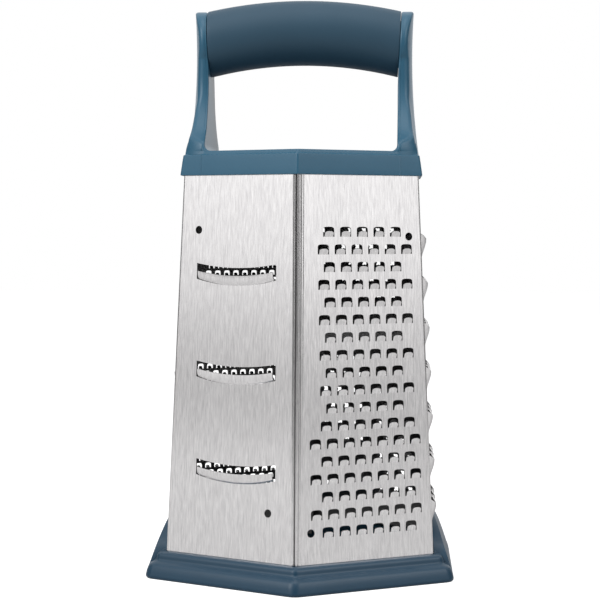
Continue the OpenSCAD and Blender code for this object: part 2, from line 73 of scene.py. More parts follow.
# A face leans in by LEAN and a corner by CORNER_LEAN. CORNER_SLOPE is the angle by which each
# face falls away from a corner, in the section square to the corner's line
LEAN = math.atan((BASE_HALF - TOP_HALF) / SHOWN_HEIGHT)
SHEET_LOW = -HIDDEN_LOW / math.cos(LEAN)
SHEET_HIGH = (SHOWN_HEIGHT + HIDDEN_HIGH) / math.cos(LEAN)
CORNER_LEAN = math.atan(math.tan(LEAN) * 2 / math.sqrt(3))
CORNER_SLOPE = math.atan(
    math.cos(LEAN) * 0.5
    / (math.cos(LEAN) * math.cos(math.radians(30)) * math.cos(CORNER_LEAN)
       + math.sin(LEAN) * math.sin(CORNER_LEAN))
)


def linear(code):
    """An sRGB hex code as linear red, green, blue and alpha."""
    share = np.array([int(code[i:i + 2], 16) for i in (1, 3, 5)]) / 255
    low, high = share / 12.92, ((share + 0.055) / 1.055) ** 2.4
    return (*np.where(share <= 0.04045, low, high), 1.0)


def node(tree, kind, values=None, inputs=None, **settings):
    """Adds one node, sets its properties and sockets, and links what is given as a socket."""
    made = tree.nodes.new(kind)
    for name, value in settings.items():
        setattr(made, name, value)
    for name, value in (values or {}).items():
        made.inputs[name].default_value = value
    for name, source in (inputs or {}).items():
        tree.links.new(source, made.inputs[name])
    return made


def shape(parts):
    """Joins (points, faces) pairs into one pair, each part's faces counted on from the last."""
    points, faces, start = [], [], 0
    for part_points, part_faces in parts:
        part_points = np.asarray(part_points, float).reshape(-1, 3)
        points.append(part_points)
        faces.append(np.asarray(part_faces) + start)
        start += len(part_points)
    return np.concatenate(points), faces


def add_piece(name, parts, material, stands_for, wall=0.0, smooth=35):
    """One mesh in metres from parts in millimetres, its doubles merged, seated in the frame.

    A wall thickens it inwards, and edges sharper than smooth degrees stay sharp.
    """
    points, faces = shape(parts)
    mesh = bpy.data.meshes.new(name)
    mesh.from_pydata(points * MM, [], [f for part in faces for f in part.tolist()])
    piece = bpy.data.objects.new(name, mesh)
    bpy.context.scene.collection.objects.link(piece)
    work = bmesh.new()
    work.from_mesh(mesh)
    bmesh.ops.remove_doubles(work, verts=work.verts, dist=2e-6)
    work.to_mesh(mesh)
    work.free()
    if wall:
        solid = piece.modifiers.new("sheet", "SOLIDIFY")
        solid.thickness = wall * MM
        solid.offset = -1
        walled = piece.evaluated_get(bpy.context.evaluated_depsgraph_get())
        mesh = bpy.data.meshes.new_from_object(walled)
        piece.modifiers.clear()
        piece.data = mesh
    mesh.polygons.foreach_set("use_smooth", np.ones(len(mesh.polygons), bool))
    mesh.set_sharp_from_angle(angle=math.radians(smooth))
    mesh.materials.clear()
    mesh.materials.append(material)
    even = piece.modifiers.new("even", "WEIGHTED_NORMAL")
    even.keep_sharp = True
    even.weight = 90
    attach(piece, "root")
    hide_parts(stands_for)
    return piece


def grid(rows, columns, closed=False):
    """Quads of a row-major grid, counterclockwise as the column runs right and the row runs up."""
    r = np.arange(rows - 1)[:, None]
    c = np.arange(columns if closed else columns - 1)[None, :]
    after = (c + 1) % columns
    return np.stack([r * columns + c, r * columns + after,
                     (r + 1) * columns + after, (r + 1) * columns + c], -1).reshape(-1, 4)


def face_half(v):
    """Half width of one steel face at v up its slope: the hexagon's there, over root three."""
    return (BASE_HALF - v * math.sin(LEAN)) / math.sqrt(3)


def on_face(k, u, v, w):
    """Face k's u along, v up and w outward as x, y, z: leaned in, then turned 60 k about Z."""
    out = BASE_HALF + w * math.cos(LEAN) - v * math.sin(LEAN)
    up = RING_TOP + w * math.sin(LEAN) + v * math.cos(LEAN)
    cos, sin = np.cos(np.radians(60 * k)), np.sin(np.radians(60 * k))
    return np.stack(np.broadcast_arrays(out * cos - u * sin, out * sin + u * cos, up), -1)


def corner_strip(k, outline):
    """A profile drawn square to the corner after face k, run along the whole corner line.

    outline holds (x outward, y along) from the corner. Each point is turned into a distance
    from the corner along its own face and a height over it, and so follows the taper.
    """
    x, y = np.asarray(outline, float).T
    after = y > 0
    cos, sin = math.cos(CORNER_SLOPE), math.sin(CORNER_SLOPE)
    along = -x * sin + np.abs(y) * cos
    height = x * cos + np.abs(y) * sin
    v = np.array([[SHEET_LOW], [SHEET_HIGH]])
    u = (face_half(v) - along) * np.where(after, -1, 1)
    return on_face(k + after, u, v, height), grid(2, len(x))


def corner_arc(center, radius, start, end, steps):
    """Points of an arc about a center, in degrees."""
    turn = np.radians(np.linspace(start, end, steps + 1))
    return np.stack([center[0] + radius * np.cos(turn), center[1] + radius * np.sin(turn)], -1)


# Distances of the bends and locked edges from the corner, and their outlines
SLOPE = math.degrees(CORNER_SLOPE)
BEND = 1.3
ROLL = 1.4
BEND_CUT = BEND * math.tan(CORNER_SLOPE)
ROLL_CUT = ROLL / math.tan(math.radians(45 - SLOPE / 2))
HOOK_CUT = 2.9
bend_outline = corner_arc((-BEND / math.cos(CORNER_SLOPE), 0), BEND, -SLOPE, SLOPE, 8)
roll_outline = np.concatenate([
    corner_arc((-ROLL_CUT - 0.03, -ROLL - 0.05), ROLL, -SLOPE, 90, 10),
    [[-5.0, -0.05]],
])
hook_along = np.array([0.08, 0.15, 0.45, 0.75, 0.95, 1.2, 1.5, 1.8, 2.2, 2.6, 2.9])
hook_height = np.array([-0.5, -0.12, 0.1, -0.05, -0.42, -0.45, -0.1, 0.12, 0.2, 0.12, 0])
hook_outline = np.concatenate([
    [[-3.4, -0.65], [-5.1, -0.65], [-5.1, 0.06], [-1.0, 0.06]],
    np.stack([
        hook_height * math.cos(CORNER_SLOPE) - hook_along * math.sin(CORNER_SLOPE),
        hook_along * math.cos(CORNER_SLOPE) + hook_height * math.sin(CORNER_SLOPE),
    ], -1),
])


def stack(bands):
    """The given (low, high, taken) bands, with plain ones between them up the whole sheet."""
    filled, at = [], SHEET_LOW
    for band in sorted(bands, key=lambda b: b[0]):
        if band[0] - at > 1e-6:
            filled.append((at, band[0], []))
        filled.append(band)
        at = band[1]
    return filled + [(at, SHEET_HIGH, [])]


def square_edge(halvings):
    """Points round a square of half width 1, from the middle of its right side."""
    edge = np.array([[1, 0], [1, 1], [0, 1], [-1, 1], [-1, 0], [-1, -1], [0, -1], [1, -1]])
    for _ in range(halvings):
        edge = np.stack([edge, (edge + np.roll(edge, -1, 0)) / 2], 1).reshape(-1, 2)
    return edge


PILOT = 3.2
PILOT_CELL = 2.4


def round_hole(half_u, low, high, u, v):
    """A tooling hole at u, v in a cell from u - half_u to u + half_u and from low to high."""
    share = square_edge(2)
    turn = np.arctan2(share[:, 1], share[:, 0])
    ring = np.stack([np.cos(turn), np.sin(turn)], -1) * PILOT / 2 + [u, v]
    edge = np.stack([u + share[:, 0] * half_u,
                     np.where(share[:, 1] > 0, v + share[:, 1] * (high - v),
                              v + share[:, 1] * (v - low))], -1)
    points = np.pad(np.concatenate([edge, ring]), ((0, 0), (0, 1)))
    return points, grid(2, len(share), closed=True)


def sheet_face(k, start_cut, end_cut, bands, tiles, holes=()):
    """One flat face: level bands of plain sheet round the tiles that sit in them.

    bands lists (low v, high v, places taken in u); the plain sheet fills what is left of each
    band out to the tapering edges. tiles are (u, v, w) points and faces in the face's own
    plane. holes are the places of tooling holes, each in a square cell with a band to itself.
    """
    cells = [(u, v, v - PILOT_CELL, v + PILOT_CELL) for u, v in holes]
    bands = bands + [(low, high, [(u - PILOT_CELL, u + PILOT_CELL)]) for u, v, low, high in cells]
    tiles = tiles + [round_hole(PILOT_CELL, low, high, u, v) for u, v, low, high in cells]
    corners = []
    for low, high, taken in stack(bands):
        spans = sorted(taken)
        left = [(start_cut - face_half(low), start_cut - face_half(high))]
        right = [(face_half(low) - end_cut, face_half(high) - end_cut)]
        starts = left + [(b, b) for a, b in spans]
        ends = [(a, a) for a, b in spans] + right
        for s, e in zip(starts, ends):
            corners.append([[s[0], low], [e[0], low], [e[1], high], [s[1], high]])
    flat = np.array(corners).reshape(-1, 2)
    plain = (on_face(k, flat[:, 0], flat[:, 1], 0.0), np.arange(len(flat)).reshape(-1, 4))
    return [plain] + [(on_face(k, p[:, 0], p[:, 1], p[:, 2]), f) for p, f in tiles]


def repeat(tile, places):
    """The same tile set down at each (u, v) place."""
    points, faces = tile
    places = np.asarray(places, float)
    moved = points[None] + np.pad(places, ((0, 0), (0, 1)))[:, None]
    counted = faces[None] + (np.arange(len(places)) * len(points))[:, None, None]
    return moved.reshape(-1, 3), counted.reshape(-1, faces.shape[1])


SLOT_ARC = 105
ROOT_ARC = 75
BLADE_GAP = 3.15
BLADE_WIDTH = 3.8
BLADE_RISE = 1.2


def blade(center_u, v, length, low, high):
    """A smiling slot with the blade below it, in a cell from low to high.

    The slot's upper edge is an arc of radius SLOT_ARC. The blade's free edge is the same arc,
    BLADE_GAP lower, and its root an arc of radius ROOT_ARC; between them the strip climbs from
    the sheet to its rise. The rows of sheet above and below end on level lines.
    """
    u = np.linspace(-length / 2, length / 2, 29)
    smile = SLOT_ARC - np.sqrt(SLOT_ARC ** 2 - u ** 2)
    root = ROOT_ARC - np.sqrt(ROOT_ARC ** 2 - u ** 2) - BLADE_GAP - BLADE_WIDTH
    edge = smile - BLADE_GAP
    under = [low - v + 0 * u, root - 0.35, root]
    lower = np.stack([np.stack([u, row, 0 * u], -1) for row in under])
    share = np.array([0.0, 0.08, 0.2, 0.36, 0.65, 1.0])[:, None]
    lift = BLADE_RISE * np.array([0.0, 0.2, 0.55, 0.78, 0.92, 1.0])[:, None]
    # The strip stops 1 mm short of the slot's ends and sits 0.2 mm to the right
    narrow = 0.2 + u * (length - 2.0) / length
    strip = np.stack(np.broadcast_arrays(narrow, root + (edge - root) * share, lift + 0 * u), -1)
    upper = np.stack([np.stack([u, row, 0 * u], -1) for row in (smile, high - v + 0 * u)])
    side = np.array([center_u, v, 0.0])
    return [(rows.reshape(-1, 3) + side, grid(len(rows), len(u)))
            for rows in (lower, strip, upper)]


def slicer(k, start_cut, end_cut, slots, length, holes):
    """A slicing face: one band for each slot, from under its blade to over its arc."""
    bands, tiles = [], []
    for u, v in slots:
        low, high = v - BLADE_GAP - BLADE_WIDTH - 1.2, v + 3.2
        bands.append((low, high, [(u - length / 2, u + length / 2)]))
        tiles += blade(u, v, length, low, high)
    return sheet_face(k, start_cut, end_cut, bands, tiles, holes)


def cell_edge(count, cell, start, reach):
    """Points from the middle left round the top of a cell: up its side, across and down again."""
    side = (count - 3) // 4
    inner = count - 2 * side - 2
    across = np.concatenate([-np.ones(side + 1), np.linspace(-1, 1, inner + 2)[1:-1],
                             np.ones(side + 1)])
    climb = start + (reach - start) * np.linspace(0, 1, side + 1)
    up = np.concatenate([climb, np.full(inner, reach), climb[::-1]])
    return np.stack([across * cell / 2, up], -1)


def tongue(width, height, corner, tongue_w, gap, side_gap, rise, cell, above, below,
           arch=11, across=6):
    """A hole with a flat arch on top, and the tongue bent out of it along its lower edge.

    The hole's top is a superellipse over its half width, and a ring of quads joins it to the
    cell's edges. The tongue's tip drops from gap to side_gap with the fifth power of the width,
    so that an even slot is left round it, and its middle is dished up a little.
    """
    half = width / 2
    turn = np.linspace(math.pi, 0, arch)
    hole = np.stack([half * np.sign(np.cos(turn)) * np.abs(np.cos(turn)) ** 0.62,
                     corner * (np.sin(turn).clip(0) ** 0.62 - 1)], -1)
    hole = np.concatenate([[[-half, -height]], hole, [[half, -height]]])
    edge = cell_edge(arch, cell, -corner, above)
    rim = np.concatenate([[[-cell / 2, -height]], edge, [[cell / 2, -height]]])
    ring = np.pad(np.concatenate([hole, rim]), ((0, 0), (0, 1)))
    s = np.sin(np.linspace(-1, 1, across + 1) * math.pi / 2)
    columns = np.concatenate([[-cell / 2, -half], s * tongue_w / 2, [half, cell / 2]])
    apron = np.stack(np.broadcast_arrays(columns, np.array([[-below - height], [-height]]), 0.0),
                     -1)
    tip = -gap - (side_gap - gap) * np.abs(s) ** 5 - 0.12 * s ** 2
    climb = np.array([0, 0.12, 0.5, 1.0])[:, None]
    strip = np.stack(np.broadcast_arrays(s * tongue_w / 2, -height + (tip + height) * climb,
                                         rise * climb ** 0.8 * (1 - 0.3 * s ** 2)), -1)
    points, faces = shape([(ring, grid(2, len(hole))), (apron, grid(2, len(columns))),
                           (strip, grid(4, across + 1))])
    return points, np.concatenate(faces)


def fine_shredder(k, start_cut, end_cut, holes):
    """Close rows of small arched holes, each with a short tongue.

    Every second row stands a third of a pitch aside: to the left in the lowest rows, and to
    the right from the turning row up.
    """
    rows, pitch, step, height, above = 40, 4.33, 3.094, 2.2, 0.42
    first_u, first_v, turning_row, margin = 2.64, 14.7, 11, 4.6
    tile = tongue(width=2.8, height=height, corner=1.1, tongue_w=1.5, gap=1.25, side_gap=1.5,
                  rise=0.6, cell=pitch, above=above, below=step - (height + above), arch=7,
                  across=4)
    bands, tiles = [], []
    for row in range(rows):
        v = first_v + step * row
        third = 0 if row % 2 == 0 else -1 if row < turning_row else 1
        u = first_u + pitch * (np.arange(-8, 8) + third / 3)
        u = u[np.abs(u) < face_half(v) - margin]
        bands.append((v - step + above, v + above, [(u[0] - pitch / 2, u[-1] + pitch / 2)]))
        tiles.append(repeat(tile, np.stack([u, 0 * u + v], -1)))
    return sheet_face(k, start_cut, end_cut, bands, tiles, holes)


def brushed_stainless():
    """Cold-rolled stainless with a fine upright grain: neutral grey, soft long reflections."""
    made = bpy.data.materials.new("brushed_stainless_sheet")
    made.use_nodes = True
    tree = made.node_tree
    shader = tree.nodes["Principled BSDF"]
    shader.inputs["Metallic"].default_value = 1.0
    shader.inputs["Anisotropic"].default_value = 0.8
    place = node(tree, "ShaderNodeTexCoord").outputs["Object"]
    # The brush ran upright, so light spreads level: the tangent is normal x up
    facing = node(tree, "ShaderNodeNewGeometry").outputs["True Normal"]
    level = node(tree, "ShaderNodeVectorMath", {1: (0.0, 0.0, 1.0)}, {0: facing},
                 operation="CROSS_PRODUCT")
    tree.links.new(level.outputs[0], shader.inputs["Tangent"])
    # Grain lines about 0.5 mm wide and 6 mm long, drawn a little coarse so that they show
    long = node(tree, "ShaderNodeMapping", {"Scale": (1.0, 1.0, 0.09)}, {"Vector": place})
    grain = node(tree, "ShaderNodeTexNoise", {"Scale": 1700.0, "Detail": 4.0, "Roughness": 0.62},
                 {"Vector": long.outputs["Vector"]})
    cloud = node(tree, "ShaderNodeTexNoise", {"Scale": 40.0, "Detail": 3.0}, {"Vector": place})
    strong = node(tree, "ShaderNodeMapRange", {"From Min": 0.3, "From Max": 0.7},
                  {"Value": grain.outputs["Fac"]})
    tint = node(tree, "ShaderNodeMix", inputs={"Factor": strong.outputs["Result"]},
                data_type="RGBA")
    tint.inputs[6].default_value = linear("#dad8d9")
    tint.inputs[7].default_value = linear("#faf8f8")
    # Painted shade: the sheet's inner side and cut edges turn dark grey, for the shade inside the
    # body
    away = node(tree, "ShaderNodeVectorMath", {1: (1.0, 1.0, 0.0)}, {0: place},
                operation="MULTIPLY")
    away = node(tree, "ShaderNodeVectorMath", inputs={0: away.outputs[0]}, operation="NORMALIZE")
    outward = node(tree, "ShaderNodeVectorMath", inputs={0: away.outputs[0], 1: facing},
                   operation="DOT_PRODUCT")
    # Mask of the painted shade: 0 where the sheet faces inwards, 1 where it faces outwards
    side = node(tree, "ShaderNodeMapRange", {"From Min": -0.1, "From Max": 0.45},
                {"Value": outward.outputs["Value"]})
    grain_and_painted_shade = node(tree, "ShaderNodeMix", inputs={"Factor": side.outputs["Result"]},
                  data_type="RGBA")
    # The dark grey of the painted shade inside the body and on the cut edges
    grain_and_painted_shade.inputs[6].default_value = linear("#868586")
    tree.links.new(tint.outputs[2], grain_and_painted_shade.inputs[7])
    tree.links.new(grain_and_painted_shade.outputs[2], shader.inputs["Base Color"])
    rough = node(tree, "ShaderNodeMapRange", {"To Min": 0.2, "To Max": 0.27},
                 {"Value": cloud.outputs["Fac"]})
    tree.links.new(rough.outputs["Result"], shader.inputs["Roughness"])
    bump = node(tree, "ShaderNodeBump", {"Strength": 0.06, "Distance": 0.0002},
                {"Height": grain.outputs["Fac"]})
    tree.links.new(bump.outputs["Normal"], shader.inputs["Normal"])
    return made


steel = brushed_stainless()
left_sheet = (
    [corner_strip(1, hook_outline)]
    + fine_shredder(2, HOOK_CUT, BEND_CUT, holes=[(-21.5, 142.5), (22.0, 6.0)])
    + [corner_strip(2, bend_outline)]
    + slicer(3, BEND_CUT, BEND_CUT, slots=[(0.0, 72.0)], length=42.0,
             holes=[(-22.0, 135.0), (22.0, 9.0)])
    + [corner_strip(3, bend_outline)]
    + slicer(4, BEND_CUT, ROLL_CUT, slots=[(1.6, 36.3), (0.5, 74.9), (-0.5, 113.5)],
             length=37.6, holes=[(-18.9, 128.3), (17.4, 19.1)])
    + [corner_strip(4, roll_outline)]
)
add_piece("left_sheet", left_sheet, steel, "left_shell", wall=SHEET, smooth=28)


# The right sheet: the same steel strip bent into the medium shredder in front, the
# coarse one at the side and the zester behind. Each hole is cut along its top and
# the metal below it pushed out, and the zester's points are punched through.
def burst(hole, foot, rise, cell):
    """A punched point: the sheet swells into a crater whose torn rim stands in four teeth.

    Rings about the middle: the square cell, the foot, a steep flank and the rim, whose
    radius and height swing with four times the angle.
    """
    share = square_edge(1)
    turn = np.arctan2(share[:, 1], share[:, 0])
    tooth = np.cos(4 * turn)
    radius = np.stack([0 * turn + foot, 0 * turn + (foot + hole) / 2, hole * (1 - 0.22 * tooth)])
    height = np.stack([0 * turn, 0 * turn + 0.38 * rise, rise * (0.72 + 0.28 * tooth)])
    rings = np.stack([radius * np.cos(turn), radius * np.sin(turn), height], -1)
    edge = np.pad(share * cell / 2, ((0, 0), (0, 1)))[None]
    return np.concatenate([edge, rings]).reshape(-1, 3), grid(4, len(share), closed=True)


def zester(k, start_cut, end_cut, holes):
    """Rows of punched points, every second one half a step aside."""
    pitch, margin, side = 7.0, 16.0, 6.0
    tile = burst(hole=1.25, foot=2.5, rise=1.0, cell=pitch)
    steps = int((SHOWN_HEIGHT / math.cos(LEAN) - 2 * margin) / pitch)
    bands, tiles = [], []
    for row in range(steps + 1):
        v = margin + row * pitch
        u = (np.arange(-5, 6) + (row % 2) / 2) * pitch
        u = u[np.abs(u) < face_half(v) - side]
        bands.append((v - pitch / 2, v + pitch / 2, [(u[0] - pitch / 2, u[-1] + pitch / 2)]))
        tiles.append(repeat(tile, np.stack([u, 0 * u + v], -1)))
    return sheet_face(k, start_cut, end_cut, bands, tiles, holes)


def medium_shredder(k, start_cut, end_cut, holes):
    """Eighteen rows of small tongues: six to every second row, seven or five between them.

    The tooling holes stand beside the tongues of two rows, in cells as high as the row.
    """
    pitch, step, first_v, half_cell = 7.4, 6.806, 14.04, 2.2
    height, above = 3.9, 1.2
    tile = tongue(width=4.9, height=height, corner=1.4, tongue_w=3.8, gap=1.75, side_gap=2.35,
                  rise=0.8, cell=pitch, above=above, below=step - height - above)
    bands, tiles = [], []
    for row in range(18):
        v = first_v + step * row
        count, first_u = (6, -16.3) if row % 2 == 0 else (5, -13.8) if row >= 7 else (7, -21.2)
        u = first_u + pitch * np.arange(count)
        low, high = v + above - step, v + above
        taken = [(u[0] - pitch / 2, u[-1] + pitch / 2)]
        for hole_u, hole_v in holes:
            if low < hole_v < high:
                taken.append((hole_u - half_cell, hole_u + half_cell))
                tiles.append(round_hole(half_cell, low, high, hole_u, hole_v))
        bands.append((low, high, taken))
        tiles.append(repeat(tile, np.stack([u, 0 * u + v], -1)))
    return sheet_face(k, start_cut, end_cut, bands, tiles)


def hood(width, rise, cell, above, below):
    """A wide hood: the sheet swells out over a half ellipse and ends in a raised cutting edge.

    For t from pi to 0 the hole's top is (a cos t, 1.2 sin t, 0). With q = sin t to the power
    0.8 the cutting edge is (a cos t, -2.3 q, rise root sin t) and the foot (a cos t, -10.8 q,
    0). Rows from foot to edge rise by 3 s2 - 2 s3, and the flanks are steep.
    """
    columns, rows = 15, np.array([0, 0.15, 0.32, 0.5, 0.68, 0.85, 1.0])[:, None]
    t = np.linspace(math.pi, 0, columns)
    x, sweep, flat = width / 2 * np.cos(t), np.sin(t).clip(0), 0 * t
    top = np.stack([x, 1.2 * sweep, flat], -1)
    lift = rise * sweep ** 0.5 * (3 * rows ** 2 - 2 * rows ** 3)
    swell = np.stack(np.broadcast_arrays(x, (-10.8 + 8.5 * rows) * sweep ** 0.8, lift), -1)
    upper = np.pad(cell_edge(columns, cell, 0.0, above), ((0, 0), (0, 1)))
    lower = np.pad(cell_edge(columns, cell, 0.0, -below), ((0, 0), (0, 1)))
    points, faces = shape([(np.concatenate([top, upper]), grid(2, columns)),
                           (np.concatenate([lower[None], swell]), grid(len(rows) + 1, columns))])
    return points, np.concatenate(faces)


def coarse_shredder(k, holes):
    """Seven level rows of wide hoods, two or three to a row as the face narrows."""
    rows, pitch, step, first_v, above, below = 7, 17.5, 17.75, 20.6, 3.0, 12.6
    tile = hood(width=11.2, rise=2.2, cell=pitch, above=above, below=below)
    bands, tiles = [], []
    for row in range(rows):
        v = first_v + step * row
        u = pitch * np.arange(-1, 2)
        # A hood and its foot take 5.75 mm to each side and stay 2 mm off the bend
        u = u[np.abs(u) + 5.75 < face_half(v) - 2]
        bands.append((v - below, v + above, [(u[0] - pitch / 2, u[-1] + pitch / 2)]))
        tiles.append(repeat(tile, np.stack([u, 0 * u + v], -1)))
    return sheet_face(k, BEND_CUT, BEND_CUT, bands, tiles, holes)


right_sheet = (
    [corner_strip(4, hook_outline)]
    + medium_shredder(5, HOOK_CUT, BEND_CUT, holes=[(21.9, 125.9), (-23.8, 12.1)])
    + [corner_strip(5, bend_outline)]
    + coarse_shredder(0, holes=[(-20.5, 141.0), (22.5, 4.3)])
    + [corner_strip(0, bend_outline)]
    + zester(1, BEND_CUT, ROLL_CUT, holes=[(-21.0, 137.0), (22.0, 6.0)])
    + [corner_strip(1, roll_outline)]
)
add_piece("right_sheet", right_sheet, steel, "right_shell", wall=SHEET, smooth=28)


# The handle frame: one hard moulding in blue-grey polypropylene. Its collar
# clips over the top of the steel, and the two posts rise from its side faces.
# The halves of the mould part in a fine ridge that runs up collar and post.
BAND_LOW = RING_TOP + SHOWN_HEIGHT
DECK_TOP = BAND_LOW + 9.7
GROOVE_TOP = BAND_LOW + 5.15
# How far from the middle the mould parts
PARTING = 39.2
FIT = 0.15


def steel_half(z):
    """Half width of the steel across its flats at a height over the table."""
    return BASE_HALF - (z - RING_TOP) * math.tan(LEAN)


def hexagon(half, radius, z, shares):
    """Rings round the axis: a hexagon of that half width with rounded corners at each height.

    Face k is a straight line n + s t / root three at share s of its half length, a corner an
    arc. Both come from one sum: (half - radius) q + radius m, where q runs round the unit
    hexagon and m is the direction that the surface faces.
    """
    q, m = [], []
    for k in range(6):
        turn = math.radians(60 * k)
        n = np.array([math.cos(turn), math.sin(turn)])
        t = np.array([-n[1], n[0]])
        s = np.asarray(shares[k % 3], float)[:, None]
        q.append(n + s * t / math.sqrt(3))
        m.append(np.broadcast_to(n, q[-1].shape))
        arc = turn + np.radians(np.array([15, 30, 45]))
        m.append(np.stack([np.cos(arc), np.sin(arc)], -1))
        middle = turn + math.pi / 6
        q.append(np.broadcast_to(np.array([math.cos(middle), math.sin(middle)])
                                 * 2 / math.sqrt(3), (3, 2)))
    q, m = np.concatenate(q), np.concatenate(m)
    half, radius, z = (np.asarray(a, float)[:, None, None] for a in (half, radius, z))
    flat = (half - radius) * q + radius * m
    return np.concatenate([flat, np.broadcast_to(z, flat.shape[:2] + (1,))], -1)


def closed_rings(rings):
    """Quads between rings of points, each ring closed, the last ring joined to the first."""
    count, around = rings.shape[:2]
    faces = grid(count + 1, around, closed=True) % (count * around)
    return rings.reshape(-1, 3), faces


def smooth_line(x, xs, ys):
    """A curve through (xs, ys): cubic pieces whose slopes are those of the neighbours' chord."""
    xs, ys = np.asarray(xs, float), np.asarray(ys, float)
    slope = np.gradient(ys, xs)
    i = np.clip(np.searchsorted(xs, x) - 1, 0, len(xs) - 2)
    step = xs[i + 1] - xs[i]
    t = np.clip((x - xs[i]) / step, 0, 1)
    return ((2 * t ** 3 - 3 * t ** 2 + 1) * ys[i] + (t ** 3 - 2 * t ** 2 + t) * step * slope[i]
            + (3 * t ** 2 - 2 * t ** 3) * ys[i + 1] + (t ** 3 - t ** 2) * step * slope[i + 1])


# The collar's section, half width and height: the band, its rounded shoulder, the step up to
# the deck, the deck's under side, and the rib and groove that hold the steel
RIB_OUT = steel_half(GROOVE_TOP) - SHEET - FIT
RIB_IN = RIB_OUT - 1.8
RIB_LOW = BAND_LOW + 0.9
collar_profile = np.array([
    [steel_half(BAND_LOW) + FIT, BAND_LOW], [47.75, BAND_LOW], [47.95, 160.08], [48.05, 160.3],
    [47.75, 162.5], [47.35, 165.3], [46.95, 167.85], [46.84, 168.05], [46.6, 168.17],
    [46.3, 168.22], [46.08, 168.4], [45.9, 168.75], [45.62, 169.4], [45.45, 169.62],
    [45.2, DECK_TOP], [44.8, DECK_TOP], [30.0, DECK_TOP], [0.0, DECK_TOP], [0.0, GROOVE_TOP],
    [30.0, GROOVE_TOP], [RIB_IN, GROOVE_TOP], [RIB_IN + 0.05, RIB_LOW + 0.1],
    [RIB_OUT, RIB_LOW], [RIB_OUT, GROOVE_TOP], [steel_half(GROOVE_TOP) + FIT, GROOVE_TOP],
])
collar_round = np.interp(collar_profile[:, 0], [0, 40, 45, 46.8, 48], [0, 1.6, 1.9, 1.3, 1.3])
ends = np.array([-1.0, 0.0, 1.0])
collar = closed_rings(hexagon(collar_profile[:, 0], collar_round, collar_profile[:, 1],
                              [ends, ends, ends]))

# A post seen from the side: a sweep widens it below SWEEP_TOP, and above NECK_TOP it is an ear
DEPTH_SWEEP = 32
SWEEP_TOP = 201.7
NECK_TOP = 207.6
EAR_RADIUS = 13.9
EAR_HEIGHT = 213.7
# Seen from the front: its outline sweeps about the waist, its crown is round about CROWN_MIDDLE
OUTER_SWEEP = 290
WAIST = 209.07
WAIST_OUT = 44.15
CROWN_MIDDLE = 4.15
# Its fillet into the deck and the rounding of its long edges and its top
FOOT_FILLET = 2.5
EDGE_ROUND = 1.7
TOP_ROUND = 1.2
# The grip starts at INNER_HALF and GRIP_LOW and its ends lean outwards; its bow's own middle
INNER_HALF = 38.3
GRIP_LOW = 201.15
GRIP_LEAN = math.radians(2.8)
BOW_RADIUS = 168
BOW_MIDDLE = 218.92 - BOW_RADIUS


def post_depth(z):
    """Half depth of a post at z: a strap that a circular sweep widens into the foot.

    The strap's half depth is 12.7 at the sweep's top and less above it. The foot ends on the
    collar's own hexagon, with a soft minimum of both, and the ear is a circle.
    """
    low = np.clip(SWEEP_TOP - z, 0, DEPTH_SWEEP - 0.1)
    strap = 44.7 - np.sqrt(DEPTH_SWEEP ** 2 - low ** 2) - 0.03 * np.clip(z - SWEEP_TOP, 0, 8)
    flat = np.interp(z, [168.1, 171, 174.5, 182.5], [31.2, 30.3, 29.4, 28.4])
    stem = 0.5 * (strap + flat - np.sqrt((strap - flat) ** 2 + 1.5))
    ear = np.sqrt(np.clip(EAR_RADIUS ** 2 - (z - EAR_HEIGHT) ** 2, 0, None))
    return np.where(z > NECK_TOP, ear, stem)


def post_out(y, z):
    """How far a post's outer side stands from the middle.

    The crown is a circle about an upright axis, as wide as the swept outline at y 0. From the
    neck down the foot's hexagon, with its own half width at each height, stands further out,
    and the larger of both counts, with a soft join.
    """
    outline = WAIST_OUT + OUTER_SWEEP - np.sqrt(OUTER_SWEEP ** 2 - (z - WAIST) ** 2)
    crown = CROWN_MIDDLE + np.sqrt((outline - CROWN_MIDDLE) ** 2 - y ** 2)
    flat = smooth_line(
        z, [167.5, 168.1, 171.3, 174.5, 178.5, 182.5, 187.3, 193.1, 200.1, 204.9, 212],
        [46.6, 46.5, 45.95, 45.1, 44.35, 43.9, 43.3, 42.1, 40.0, 38.0, 34.0])
    spread = 2 * flat - math.sqrt(3) * np.abs(y)
    hexed = 0.5 * (flat + spread - np.sqrt((flat - spread) ** 2 + 1.0))
    return 0.5 * (crown + hexed + np.sqrt((crown - hexed) ** 2 + 0.3)) - 0.08


def post_in(z):
    """A post's inner face: nearly upright, leaning out beside the grip, filleted into the deck."""
    face = smooth_line(z, [167, 175, 186, GRIP_LOW, 210, 219, 228],
                       [38.0, 38.1, 38.2, INNER_HALF, 38.73, 39.17, 39.6])
    low = np.clip(FOOT_FILLET - (z - DECK_TOP), 0, FOOT_FILLET)
    return face - FOOT_FILLET + np.sqrt(FOOT_FILLET ** 2 - low ** 2)


def post_heights():
    """Heights of a post's rings: close at the foot, even up the stem, then by the ear's angle."""
    foot = np.concatenate([[167.6, 168.3, 169.0, 169.7],
                           DECK_TOP + 8.5 * np.linspace(0.04, 1, 14) ** 1.3])
    turn = np.radians(np.linspace(-25, 90, 36))
    return np.concatenate([foot, np.linspace(179.6, 207, 20),
                           EAR_HEIGHT + EAR_RADIUS * np.sin(turn)])


